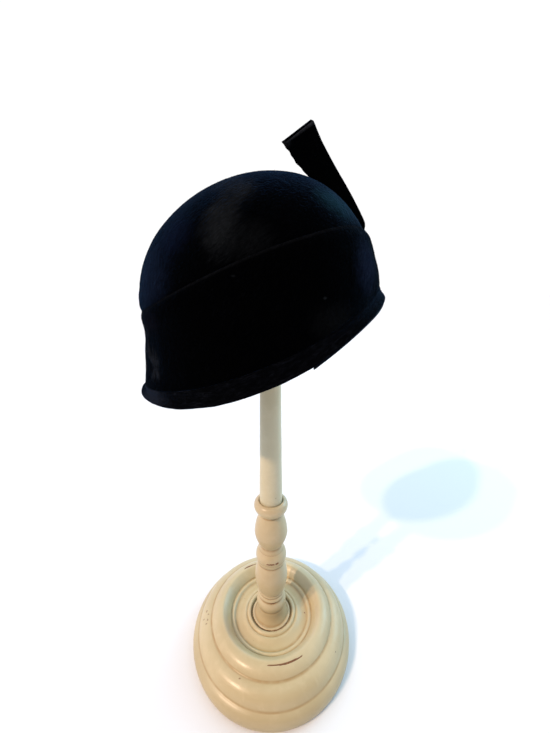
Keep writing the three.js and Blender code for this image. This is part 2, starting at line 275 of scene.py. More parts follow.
def turned_piece(node, outline, steps, spacing, marks=()):
    profile = softened(outline_points(outline, spacing), 1.0)
    hollow = hollowness(profile, math.ceil(3.5 / spacing))
    inner = profile[1:-1]
    rows = len(inner)
    radius = np.repeat(inner[:, 0], steps)
    height = np.repeat(inner[:, 1], steps)
    around = np.tile(np.linspace(0, 2 * math.pi, steps, endpoint=False), rows)
    worn = np.zeros(rows * steps)
    for mark in marks:
        worn = np.maximum(worn, mark(radius, height, around))
    along = np.gradient(inner, axis=0)
    along /= np.linalg.norm(along, axis=1)[:, None]
    uneven = waves(np.stack([radius * np.cos(around), radius * np.sin(around), height], axis=1), 30, 5)
    dig = 0.55 * worn**3 - 0.06 * uneven * (height > 1)
    radius = np.maximum(radius - np.repeat(along[:, 1], steps) * dig, 0.01)
    height = height + np.repeat(along[:, 0], steps) * dig
    height = np.where(np.repeat(inner[:, 1], steps) == outline[0][1], outline[0][1], height)
    points = np.stack([radius * np.cos(around), radius * np.sin(around), height], axis=1)
    faces = grid_faces(rows, steps)
    first = rows * steps
    last = first + 1
    final_row = (rows - 1) * steps
    for step in range(steps):
        beside = (step + 1) % steps
        faces.append([first, beside, step])
        faces.append([final_row + step, final_row + beside, last])
    points = np.concatenate([points, [[0, 0, profile[0, 1]], [0, 0, profile[-1, 1]]]])
    # hollow drives the painted shade in hollows and painted highlight on ridges; worn marks chips, cracks and
    # rings towards bare wood.
    fields = {
        "hollow": np.concatenate([np.repeat(hollow[1:-1], steps), [0, 0]]),
        "worn": np.concatenate([worn, [0, 0]]),
    }
    return make_piece(f"{node}_turned", points, faces, [node], fields=fields)


# ---- The hat's surfaces ----
# A turn is an angle round the hat in degrees: 0 is the front, 90 the wearer's left and 180 the back.

def line_height(line, turn):
    c = np.cos(np.radians(turn))
    tilt = (line["front"] - line["back"]) / 2
    bow = (line["front"] + line["back"]) / 2 - line["side"]
    return line["side"] + tilt * c + bow * c * c + line["sweep"] * (c**3 - c)


def reach_at(column, drop):
    top, middle, bottom = REACH[column]
    first = (middle - top) / REACH_DROPS[1]
    second = (bottom - top) / REACH_DROPS[2]
    curve = (second - first) / (REACH_DROPS[2] - REACH_DROPS[1])
    return top + drop * (first + curve * (drop - REACH_DROPS[1]))


def crown_points(turn, z, lift):
    """Points on the crown's surface, or lift mm off it, with one soft dent at the back."""
    s = np.sin(np.radians(turn))
    c = np.cos(np.radians(turn))
    beside = np.degrees(np.arccos(np.cos(np.radians(turn - DENT["turn"]))))
    dent = np.exp(-((beside / DENT["half_turn"]) ** 2 + ((z - DENT["z"]) / DENT["half_tall"]) ** 2))
    lift = lift - DENT["depth"] * dent
    front = c > 0
    power = DOME["side"] + (np.where(front, DOME["front"], DOME["back"]) - DOME["side"]) * c * c
    rise = np.clip((z - DOME_Z) / (DOME_RISE + np.minimum(lift, 0)), 0, 1)
    shrink = (1 - rise**power) ** (1 / power)
    drop = np.maximum(DOME_Z - z, 0)
    x = (reach_at("side", drop) + lift) * s * shrink
    y_reach = np.where(front, reach_at("front", drop), reach_at("back", drop)) + lift
    y = -y_reach * c * shrink + DOME_LEAN * rise + CENTRE_Y
    return np.stack(np.broadcast_arrays(x, y, z), axis=-1)


def brim_edge_points(turn):
    s = np.sin(np.radians(turn))
    c = np.cos(np.radians(turn))
    front = c > 0
    power = 2 / np.where(front, BRIM_POWER["front"], BRIM_POWER["back"])
    x = BRIM_REACH["side"] * np.sign(s) * np.abs(s) ** power
    y = -np.where(front, BRIM_REACH["front"], BRIM_REACH["back"]) * np.sign(c) * np.abs(c) ** power + CENTRE_Y
    return np.stack([x, y, line_height(BRIM_EDGE, turn)], axis=-1)


def pinch_rise(turn, z):
    """How far the pinch pulls the drape in, and how far its folds stand up, in mm."""
    across = np.radians(turn - PINCH_TURN) * REACH["front"][1]
    up = z - PINCH_Z
    hollow = -PINCH_HOLLOW["depth"] * np.exp(
        -((across / PINCH_HOLLOW["half_across"]) ** 2 + (up / PINCH_HOLLOW["half_tall"]) ** 2))
    rise = np.zeros_like(hollow)
    for a0, u0, a1, u1, height, half_width in PINCH_FOLDS:
        span = np.array([a1 - a0, u1 - u0])
        length = np.hypot(*span)
        span /= length
        along = ((across - a0) * span[0] + (up - u0) * span[1]) / length
        beside = (up - u0) * span[0] - (across - a0) * span[1]
        inside = np.clip(along, 0, 1)
        taper = np.sin(np.pi * np.sqrt(inside)) ** 0.7
        rise += height * taper * np.exp(-((beside / (half_width * (0.6 + 0.6 * inside))) ** 2))
    return hollow, rise


# ---- Felt pieces ----

def wall_section(rows, thickness, top_rounded=True):
    """A wall's cross-section, up the outer skin, over the top edge, down the inner skin and under the foot.

    Its columns are a share of the wall's height, millimetres above that, and depth from the outer skin.
    """
    half = thickness / 2
    share = np.linspace(0, 1, rows)
    level = half * (1 - 2 * share)
    arc = np.radians(np.arange(22.5, 180, 22.5))
    outer = np.stack([share, level, np.zeros(rows)], axis=1)
    top = np.stack([np.ones(len(arc)), half * np.sin(arc) - half, half - half * np.cos(arc)], axis=1)
    inner = np.stack([share[::-1], level[::-1], np.full(rows, thickness)], axis=1)
    foot = np.stack([np.zeros(len(arc)), half - half * np.sin(arc), half + half * np.cos(arc)], axis=1)
    if not top_rounded:
        return outer, inner, foot
    return np.concatenate([outer, top, inner, foot])


def as_columns(section):
    """A section's share, level and depth, each as a column to set against a row of turns."""
    return (section[:, axis][:, None] for axis in range(3))


def ramp(value, start, length):
    """0 before start, and then up to 1 over length."""
    return np.clip((value - start) / length, 0, 1)


def even_turns(count):
    return np.arange(count) * 360.0 / count


def crown_piece():
    columns = 240
    rows = 84
    turn = even_turns(columns)[None, :]
    low = line_height(CREASE, turn) - 0.2
    outer, inner, foot = wall_section(rows, FELT, top_rounded=False)
    section = np.concatenate([outer[:-1], inner[1:], foot])
    share, level, depth = as_columns(section)
    high = DOME_Z + DOME_RISE - depth
    climb = np.sin(share * math.pi / 2)
    z = low + (high - low) * climb + np.where(climb < 0.5, level, 0)
    z = np.minimum(z, high - 0.02)
    # The crown swells a little over the drape's top edge at the front.
    above = z - line_height(DRAPE_TOP, turn) - SWELL["up"]
    half_tall = np.where(above > 0, SWELL["above"], SWELL["below"])
    aside = wrapped(np.radians(turn - SWELL["turn"]))
    swell = SWELL["rise"] * np.exp(-((above / half_tall) ** 2 + (aside / SWELL["half_round"]) ** 2))
    flat = crown_points(turn, z, swell - depth).reshape(-1, 3)
    soft = 0.4 * waves(flat, 55, 11) + 0.1 * waves(flat, 9, 12)
    flat[:, :2] *= 1 + (soft / 90)[:, None]
    points = flat.reshape(len(section), columns, 3)
    skin_rows = rows - 1
    faces = grid_faces(skin_rows, columns)
    inner_start = skin_rows * columns
    inner_faces = grid_faces(len(section) - skin_rows, columns)
    faces += [[corner + inner_start for corner in face] for face in inner_faces]
    last_foot = (len(section) - 1) * columns
    apex = len(flat)
    for column in range(columns):
        beside = (column + 1) % columns
        faces.append([last_foot + column, last_foot + beside, beside, column])
        faces.append([inner_start - columns + column, inner_start - columns + beside, apex])
        faces.append([inner_start + column, apex + 1, inner_start + beside])
    tip = [0, CENTRE_Y + DOME_LEAN, DOME_Z + DOME_RISE]
    under_tip = [0, CENTRE_Y + DOME_LEAN, DOME_Z + DOME_RISE - FELT]
    make_piece("crown_shell", np.concatenate([flat, [tip, under_tip]]), faces, ["crown"])
    return points[:skin_rows]


def drape_piece():
    # Columns crowd together at the pinch, where the folds are narrow.
    even = np.linspace(-180, 180, 361)[:-1]
    turn = (PINCH_TURN + even - 26 * np.sin(np.radians(even)) - 4 * np.sin(np.radians(2 * even)))[None, :]
    rows = 56
    section = wall_section(rows, FELT)
    share, level, depth = as_columns(section)
    low = line_height(CREASE, turn) + 0.1
    high = line_height(DRAPE_TOP, turn) + 0.5 * np.sin(np.radians(3 * turn + 40))
    z = low + (high - low) * share + level
    place = crown_points(turn, z, 0).reshape(-1, 3)
    soft = 0.45 * waves(place, 48, 21) + 0.12 * waves(place, 10, 22)
    stand_off = 0.3 + 0.3 * np.sin(np.radians(2 * turn - 60))
    lift = BAND_LIFT + FELT - depth + soft.reshape(z.shape) * 0.8
    lift = lift + stand_off * share**6
    # The top edge is pared thin and pulled in to the crown.
    lift = lift * (1 - 0.5 * ramp(share, 0.9, 0.1) ** 2)
    apart = np.degrees(wrapped(np.radians(turn - PINCH_TURN)))
    hollow, folds = pinch_rise(apart + PINCH_TURN, z)
    # The drape is drawn in round the front just under its top edge, and bears down on the brim at its foot.
    under = (z - high + WAIST["under_top"]) / WAIST["half_tall"]
    waist = -WAIST["depth"] * np.exp(-(under**2 + ((apart - WAIST["turn"]) / WAIST["half_turn"]) ** 2))
    dip = (hollow + folds + waist) * ramp(share, 0, 0.2)
    lift = lift + np.maximum(dip, -0.6 - 0.6 * (depth < FELT / 2))
    points = crown_points(turn, z, lift)
    columns = turn.shape[1]
    faces = grid_faces(len(section), columns, wrap_rows=True)
    # Painted highlight: the fold field greys the fold ridges and, softly, the pinch's hollow, and the top raw
    # edge is lightened.
    make_piece("drape_shell", points.reshape(-1, 3), faces, ["side_drape"], fields={
        "fold": ((folds - 0.35 * hollow) * ramp(share, 0, 0.2)).ravel(),
        "raw_edge_highlight": np.repeat(0.14 * (share[:, 0] > 0.999), columns),
    })
    return points[:rows + 7]


def brim_slope(turn):
    """The brim's width, and its points by the distance up from its edge and the depth from its upper face."""
    root = crown_points(turn, line_height(CREASE, turn), BAND_LIFT + FELT)
    edge = brim_edge_points(turn)
    from_centre = np.array([0, CENTRE_Y])
    edge_reach, root_reach = (np.linalg.norm(line[..., :2] - from_centre, axis=-1) for line in (edge, root))
    flare = edge_reach - root_reach
    climb = root[..., 2] - edge[..., 2]
    width = np.hypot(flare, climb)

    def point_at(up, depth):
        part = up / width
        point = edge + (root - edge) * part[..., None]
        outward = point[..., :2] - from_centre
        outward /= np.linalg.norm(outward, axis=-1)[..., None]
        point[..., :2] -= outward * (depth * climb / width)[..., None]
        point[..., 2] -= depth * flare / width
        return point

    return width, point_at


def brim_piece():
    columns = 360
    rows = 16
    turn = even_turns(columns)[None, :]
    section = wall_section(rows, FELT)
    share, level, depth = as_columns(section)
    width, point_at = brim_slope(turn)
    up = width * share + level
    forward = np.clip(np.cos(np.radians(turn)), 0, 1)
    sag = (BRIM_SAG["round"] + BRIM_SAG["front"] * forward**3) * np.sin(np.pi * share)
    # Inside, the brim thickens into the crown at its root.
    joined = np.clip(share * 1.6 - 0.6, 0, 1) ** 2 * (BAND_LIFT + FELT)
    depth_here = depth + sag + joined * (depth > FELT / 2)
    tuck = 0.6 * (share > 0.99) * (depth < FELT)
    points = point_at(up + tuck, depth_here)
    flat = points.reshape(-1, 3)
    near_edge = np.repeat((1 - share[:, 0]), columns)
    flat[:, 2] += near_edge * (0.35 * waves(flat, 42, 31) + 0.12 * waves(flat, 9, 32))
    faces = grid_faces(len(section), columns, wrap_rows=True)
    along = np.cumsum(np.full(columns, 2 * math.pi * NAP_ROUND / columns))
    uv = np.stack(np.broadcast_arrays(along[None, :], up + depth), axis=-1).reshape(-1, 2)
    make_piece("brim_shell", flat, faces, ["brim"], uv=uv)
    return flat.reshape(len(section), columns, 3)


def ribbon_piece():
    columns = 220
    turn = np.linspace(RIBBON["start"], 360 - RIBBON["start"], columns)[None, :]
    section = wall_section(6, RIBBON["thickness"])
    share, level, depth = as_columns(section)
    _, point_at = brim_slope(turn)
    up = share * RIBBON["tall"] + level - RIBBON["below"] + 0.25 * np.sin(np.radians(turn * 7))
    points = point_at(up, depth + FELT + GAP)
    flat = points.reshape(-1, 3)
    rows = len(section)
    faces = grid_faces(rows, columns, wrap_rows=True, wrap_columns=False)
    faces.append([row * columns for row in range(rows)])
    faces.append([row * columns + columns - 1 for row in reversed(range(rows))])
    along = np.radians(turn) * NAP_ROUND
    uv = np.stack(np.broadcast_arrays(along, up + depth), axis=-1).reshape(-1, 2)
    make_piece("ribbon_band", flat, faces, ["edge_ribbon"], uv=uv)


def smooth_rows(rows, count):
    """Rows of numbers joined by a smooth curve (Catmull-Rom) and cut again at count even steps."""
    rows = np.asarray(rows, dtype=float)
    padded = np.concatenate([2 * rows[:1] - rows[1:2], rows, 2 * rows[-1:] - rows[-2:-1]])
    place = np.linspace(0, len(rows) - 1, count)
    index = np.minimum(place.astype(int), len(rows) - 2)
    t = (place - index)[:, None]
    before, here, after, beyond = (padded[index + shift] for shift in range(4))
    return 0.5 * (
        2 * here + (after - before) * t + (2 * before - 5 * here + 4 * after - beyond) * t**2
        + (3 * here - before - 3 * after + beyond) * t**3
    )


def tab_piece():
    rows = 72
    sections = smooth_rows(TAB_SECTIONS, rows)
    half_gap = (TAB_OPENING + TAB_LAYER) / 2
    half = TAB_LAYER / 2
    # The strip's middle line: out along the wearer's left layer, round the fold, back along the right layer.
    straight = np.linspace(0, 1, 16)
    bend = np.radians(np.linspace(-90, 90, 11))[1:-1]
    flat_run = np.zeros_like(straight)
    share = np.concatenate([straight, np.ones_like(bend), straight[::-1]])
    beyond = np.concatenate([flat_run, np.cos(bend) * half_gap, flat_run])
    side = np.concatenate([flat_run + half_gap, -np.sin(bend) * half_gap, flat_run - half_gap])
    turn_of_normal = np.concatenate([flat_run - math.pi / 2, bend, flat_run + math.pi / 2])
    out_side = -np.sin(turn_of_normal)
    out_back = np.cos(turn_of_normal)
    points = []
    for row, (inner_y, inner_z, fold_y, fold_z) in enumerate(sections):
        climb = row / (rows - 1)
        inner = np.array([inner_y, inner_z])
        fold = np.array([fold_y, fold_z])
        across = fold - inner
        width = np.hypot(*across)
        across = across / width
        reach = width - half_gap - half
        # The layers part a little towards the raw edges at the tip, and the near one curls out at its corner.
        parting = TAB_TIP["parting"] * climb**3 * (1 - share) ** 2
        curl = TAB_TIP["curl"] * np.clip(climb - 0.82, 0, 1) / 0.18 * np.clip(0.25 - share, 0, 1) / 0.25
        ring = []
        for sign in (1, -1):
            offset = half * sign
            x = side + offset * out_side + np.sign(side) * parting
            x = x + np.where(side > 0, curl, 0)
            y = share * reach + beyond + offset * out_back
            line = np.stack([x, y], axis=1)
            ring.append(line if sign > 0 else line[::-1])
        # Round the two raw edges.
        outer_line, inner_line = ring
        cap = np.radians([45, 90, 135])
        middle_end = (outer_line[-1] + inner_line[0]) / 2
        middle_start = (inner_line[-1] + outer_line[0]) / 2
        rounded = half * np.stack([np.cos(cap), np.sin(cap)], axis=1)
        end_cap = middle_end - rounded
        start_cap = middle_start - rounded
        loop = np.concatenate([outer_line, end_cap, inner_line, start_cap])
        # Raw edges wander a little as scissors leave them, and the fold is soft.
        wander = 0.35 * math.sin(climb * 31) + 0.25 * math.sin(climb * 73 + 1)
        along = loop[:, 1:2]
        position = inner[None, :] + across[None, :] * (along + half + wander * (1 - along / width))
        points.append(np.stack([loop[:, 0], position[:, 0], position[:, 1]], axis=1))
    points = np.array(points)
    # The near layer is cut a little shorter at the tip than the far one.
    climb = np.linspace(0, 1, rows)[:, None]
    tip_up = sections[-1, [0, 1]] - sections[-3, [0, 1]]
    tip_up /= np.hypot(*tip_up)
    near_tip = ramp(climb, 0.8, 0.2) ** 2
    short = TAB_TIP["short"] * near_tip * np.clip(points[..., 0] / half_gap, 0, 1)
    longer = TAB_TIP["longer"] * near_tip * np.clip(-points[..., 0] / half_gap, 0, 1)
    points[..., 1] += (longer - short) * tip_up[0]
    points[..., 2] += (longer - short) * tip_up[1]
    bow = 1.2 * np.sin(np.pi * climb) + 0.5 * waves(points.reshape(-1, 3), 30, 41).reshape(points.shape[:2])
    points[..., 0] += bow * 0.6
    columns = points.shape[1]
    flat = points.reshape(-1, 3)
    faces = grid_faces(rows, columns)
    # Both cut ends are closed across the strip's thickness.
    line_count = len(share)
    last = (rows - 1) * columns
    inner_first = line_count + 3
    for step in range(line_count - 1):
        a, b = step, step + 1
        c, d = inner_first + line_count - 1 - step, inner_first + line_count - 2 - step
        faces.append([last + a, last + b, last + d, last + c])
        faces.append([b, a, c, d])
    faces.append([last + line_count - 1, *(last + line_count + k for k in range(3)), last + inner_first])
    faces.append([last + columns - 3 + k for k in range(3)] + [last, last + inner_first + line_count - 1])
    faces.append([inner_first, line_count + 2, line_count + 1, line_count, line_count - 1])
    faces.append([inner_first + line_count - 1, 0, columns - 1, columns - 2, columns - 3])
    # Painted highlight along the near layer's cut end at the tip, and along both raw edges near the tip.
    edge_share = np.concatenate([1 - share, [1, 1, 1], (1 - share)[::-1], [1, 1, 1]])
    near_layer = points[..., 0] > 0
    rim = ramp(climb, 0.972, 0.02) * near_layer
    corner = ramp(climb, 0.9, 0.1) * np.clip(edge_share - 0.9, 0, 0.1) / 0.1
    raw_edge_highlight = np.maximum(rim, corner).ravel()
    round_strip = np.tile(np.arange(columns) * 1.2, rows)
    up_strip = np.repeat(np.arange(rows) * 1.6, columns)
    uv = np.stack([round_strip, up_strip], axis=1)
    make_piece("tab_strip", flat, faces, ["back_tab"], uv=uv, fields={"raw_edge_highlight": raw_edge_highlight})
    return points


def fuzz(name, grid, count, length, lean, stand, seed):
    """Loose fibres on a grid of skin points: thin tapered slips that follow the nap and stand off a little.

    lean is the nap's direction as (along the columns, along the rows); stand is how upright the fibres are.
    """
    rng = np.random.default_rng(seed)
    rows, columns = grid.shape[:2]
    row = rng.uniform(0, rows - 1.001, count)
    column = rng.uniform(0, columns, count)
    r0 = row.astype(int)
    c0 = column.astype(int) % columns
    r1 = r0 + 1
    c1 = (c0 + 1) % columns
    fr = (row - r0)[:, None]
    fc = (column - column.astype(int))[:, None]
    p00, p01, p10, p11 = grid[r0, c0], grid[r0, c1], grid[r1, c0], grid[r1, c1]
    root = (p00 * (1 - fc) + p01 * fc) * (1 - fr) + (p10 * (1 - fc) + p11 * fc) * fr
    across = (p01 - p00) + (p11 - p10)
    upward = (p10 - p00) + (p11 - p01)
    across /= np.linalg.norm(across, axis=1)[:, None] + 1e-9
    upward /= np.linalg.norm(upward, axis=1)[:, None] + 1e-9
    normal = np.cross(across, upward)
    normal /= np.linalg.norm(normal, axis=1)[:, None] + 1e-9
    stray = rng.normal(size=(count, 3)) * 0.35
    direction = across * lean[0] + upward * lean[1] + normal * stand + stray
    direction /= np.linalg.norm(direction, axis=1)[:, None]
    direction += normal * np.maximum(0.12 - (direction * normal).sum(axis=1), 0)[:, None]
    droop = across * lean[0] + upward * lean[1] + rng.normal(size=(count, 3)) * 0.5
    size = (length * rng.uniform(0.4, 1.3, count) ** 1.3)[:, None]
    half_width = 0.035
    beside = np.cross(direction, rng.normal(size=(count, 3)))
    beside /= np.linalg.norm(beside, axis=1)[:, None] + 1e-9
    base = root - normal * 0.05
    knee = root + direction * size * 0.55
    tip = knee + (direction * 0.8 + droop * 0.25) * size * 0.45
    points = np.stack([
        base - beside * half_width, base + beside * half_width,
        knee + beside * half_width * 0.7, knee - beside * half_width * 0.7, tip,
    ], axis=1).reshape(-1, 3)
    start = np.arange(count)[:, None] * 5
    quads = (start + [0, 1, 2, 3]).tolist()
    tips = (start + [3, 2, 4]).tolist()
    make_piece(name, points, quads + tips)


# ---- Materials ----

class Nodes:
    """The node tree of a material or world, with short calls for adding and joining its nodes."""

    def __init__(self, owner):
        owner.use_nodes = True
        self.owner = owner
        self.tree = owner.node_tree
        self.shader = self.tree.nodes.get("Principled BSDF")

    def add(self, kind, **settings):
        node = self.tree.nodes.new(kind)
        for key, value in settings.items():
            setattr(node, key, value)
        return node

    def join(self, source, target):
        self.tree.links.new(source, target)

    def feed(self, socket, value):
        if isinstance(value, bpy.types.NodeSocket):
            self.join(value, socket)
        elif value is not None:
            socket.default_value = value

    def fill(self, node, **values):
        for name, value in values.items():
            node.inputs[name.replace("_", " ")].default_value = value
        return node

    def constants(self, **values):
        self.fill(self.shader, **values)

    def place(self, stretch=(1, 1, 1), turned=(0, 0, 0), use="Object"):
        """Coordinates in metres on the object, turned and then stretched."""
        source = self.add("ShaderNodeTexCoord").outputs[use]
        turning = self.fill(self.add("ShaderNodeMapping", vector_type="TEXTURE"), Rotation=turned)
        self.join(source, turning.inputs["Vector"])
        scaling = self.fill(self.add("ShaderNodeMapping"), Scale=stretch)
        self.join(turning.outputs["Vector"], scaling.inputs["Vector"])
        return scaling.outputs["Vector"]

    def noise(self, place, scale, detail=3.0, roughness=0.55, distortion=0.0):
        node = self.add("ShaderNodeTexNoise")
        self.join(place, node.inputs["Vector"])
        self.fill(node, Scale=scale, Detail=detail, Roughness=roughness, Distortion=distortion)
        return node.outputs["Fac"]

    def cells(self, place, scale):
        node = self.add("ShaderNodeTexVoronoi", feature="F1")
        self.join(place, node.inputs["Vector"])
        return self.fill(node, Scale=scale).outputs["Distance"]

    def attribute(self, name):
        return self.add("ShaderNodeAttribute", attribute_name=name).outputs["Fac"]

    def range(self, value, low, high, to_low=0.0, to_high=1.0):
        node = self.add("ShaderNodeMapRange", interpolation_type="SMOOTHSTEP")
        self.fill(node, From_Min=low, From_Max=high, To_Min=to_low, To_Max=to_high)
        self.feed(node.inputs["Value"], value)
        return node.outputs["Result"]

    def math(self, operation, first, second=None):
        node = self.add("ShaderNodeMath", operation=operation)
        self.feed(node.inputs[0], first)
        self.feed(node.inputs[1], second)
        return node.outputs[0]

    def times(self, first, second):
        return self.math("MULTIPLY", first, second)

    def plus(self, first, second):
        return self.math("ADD", first, second)

    def blend(self, share, first, second):
        node = self.add("ShaderNodeMixRGB", blend_type="MIX")
        self.feed(node.inputs["Fac"], share)
        self.feed(node.inputs["Color1"], first)
        self.feed(node.inputs["Color2"], second)
        return node.outputs["Color"]

    def bump(self, height, distance, strength):
        node = self.fill(self.add("ShaderNodeBump"), Strength=strength, Distance=distance)
        self.join(height, node.inputs["Height"])
        return node.outputs["Normal"]

    def finish(self, colour, roughness=None, normal=None):
        self.feed(self.shader.inputs["Base Color"], colour)
        if roughness is not None:
            self.feed(self.shader.inputs["Roughness"], roughness)
        if normal is not None:
            self.join(normal, self.shader.inputs["Normal"])
        return self.owner


def grey(level, tint=(1.0, 1.0, 1.0)):
    return (level * tint[0], level * tint[1], level * tint[2], 1.0)


def tinted(colour, tint):
    return (colour[0] * tint[0], colour[1] * tint[1], colour[2] * tint[2], 1)


FELT_TINT = (0.8, 0.9, 1.25)
NEUTRAL_PATCH_TINT = (0.88, 1.0, 1.12)
FOLD_HIGHLIGHT_TINT = (0.82, 0.98, 1.3)
BLUE_SHEEN = (0.14, 0.43, 1.0, 1)


def felt_material(name, nap_turned, nap_length, sheen, black=0.0002, fibre=0.002, lint=0.0, painted_sheen_patches=(),
                  folds=0.0, use="Object", unit=1.0):
    """Brushed fur felt: near-black, with fine streaks along the nap and pale lint, with painted sheen and
    reflection in greyer or bluer patches, and painted highlights along raw edges and fold ridges.

    The patches are rows of centre and half size in mm, how pale they are and their tint; on the drape two
    small ones are pale specks. folds is how pale the painted highlight on the fold ridges is.
    unit is the length of one metre in the coordinates used, which are millimetres in a UV map.
    """
    n = Nodes(bpy.data.materials.new(name))
    streak_place = n.place((1, 1, 1 / nap_length), nap_turned, use)
    even_place = n.place(use=use)
    streaks = n.noise(streak_place, 1500 * unit, 4, 0.62, 0.4)
    coarse = n.noise(streak_place, 420 * unit, 3, 0.55, 0.8)
    mats = n.noise(even_place, 150 * unit, 3, 0.5, 1.2)
    patches = n.noise(even_place, 24 * unit, 2, 0.5)
    fine = n.noise(even_place, 3800 * unit, 2, 0.7)
    both = n.times(n.range(streaks, 0.38, 0.72), n.range(coarse, 0.3, 0.75))
    share = n.times(both, n.range(mats, 0.3, 0.72, 0.35, 1.0))
    share = n.times(share, n.range(patches, 0.3, 0.7, 0.55, 1.0))
    colour = n.blend(share, grey(black, FELT_TINT), grey(fibre, FELT_TINT))
    # Painted sheen and reflection: each patch lightens the felt's colour, greyer or bluer, broken by the
    # streaks.
    for centre, half_size, pale, tint in painted_sheen_patches:
        near = n.fill(n.add("ShaderNodeMapping"), Scale=[1 / (half * MM) for half in half_size],
                      Location=[-middle / half for middle, half in zip(centre, half_size)])
        n.join(n.place(), near.inputs["Vector"])
        away = n.add("ShaderNodeVectorMath", operation="LENGTH")
        n.join(near.outputs["Vector"], away.inputs[0])
        straggle = n.times(n.math("SUBTRACT", coarse, 0.5), 0.9)
        ragged = n.plus(away.outputs["Value"], straggle)
        here = n.times(n.range(ragged, 1.3, 0.3), n.range(streaks, 0.25, 0.75, 0.4, 1.0))
        here = n.times(here, n.range(mats, 0.3, 0.7, 0.7, 1.0))
        colour = n.blend(here, colour, grey(pale, tint))
    # Painted highlight along the raw edges.
    edge_highlight_share = n.times(n.attribute("raw_edge_highlight"), n.range(coarse, 0.3, 0.7, 0.5, 1.0))
    colour = n.blend(edge_highlight_share, colour, (0.02, 0.021, 0.024, 1))
    # Painted highlight on the fold ridges, and a soft painted sheen over the pinch's hollow.
    if folds:
        fold_highlight = n.range(n.attribute("fold"), 0.1, 0.8)
        fold_highlight = n.times(fold_highlight, n.range(streaks, 0.3, 0.75, 0.3, 1.0))
        colour = n.blend(fold_highlight, colour, grey(folds, FOLD_HIGHLIGHT_TINT))
    if lint:
        spots = n.cells(n.place((1, 1, 0.35), (0.9, 0.1, 0.5), use), 62 * unit)
        rare = n.range(n.noise(even_place, 31 * unit, 0), 0.60, 0.66)
        speck = n.times(n.range(spots, 0.03, 0.055, lint, 0.0), rare)
        colour = n.blend(speck, colour, (0.10, 0.095, 0.09, 1))
    height = n.plus(n.times(streaks, 0.5), n.times(coarse, 0.8))
    height = n.plus(height, n.times(fine, 0.35))
    height = n.plus(height, n.times(mats, 1.2))
    tufts = n.noise(even_place, 640 * unit, 2, 0.6, 0.5)
    height = n.plus(height, n.times(tufts, 0.9))
    normal = n.bump(height, 0.0007, 0.9)
    roughness = n.range(coarse, 0.3, 0.7, 0.75, 0.95)
    n.constants(Specular_IOR_Level=0.004, Sheen_Weight=sheen, Sheen_Roughness=0.22, Sheen_Tint=BLUE_SHEEN)
    return n.finish(colour, roughness, normal)


def ribbon_material():
    """Grosgrain: close ribs across the ribbon."""
    n = Nodes(bpy.data.materials.new("ribbon"))
    place = n.place((1, 1, 1), (0, 0, 0), "UV")
    ribs = n.add("ShaderNodeTexWave", wave_type="BANDS", bands_direction="X", wave_profile="SIN")
    n.join(place, ribs.inputs["Vector"])
    n.fill(ribs, Scale=0.42, Distortion=0.25)
    threads = n.noise(n.place((1, 9, 1), (0, 0, 0), "UV"), 1.3, 2)
    wear = n.noise(place, 0.09, 2)
    colour = n.blend(n.times(ribs.outputs["Fac"], n.range(threads, 0.3, 0.7)),
                     grey(0.0006), grey(0.004, FELT_TINT))
    height = n.plus(ribs.outputs["Fac"], n.times(threads, 0.3))
    normal = n.bump(height, 0.00025, 0.9)
    n.constants(Specular_IOR_Level=0.08, Sheen_Weight=0.03, Sheen_Roughness=0.3, Sheen_Tint=BLUE_SHEEN)
    return n.finish(colour, n.range(wear, 0.3, 0.7, 0.55, 0.75), normal)


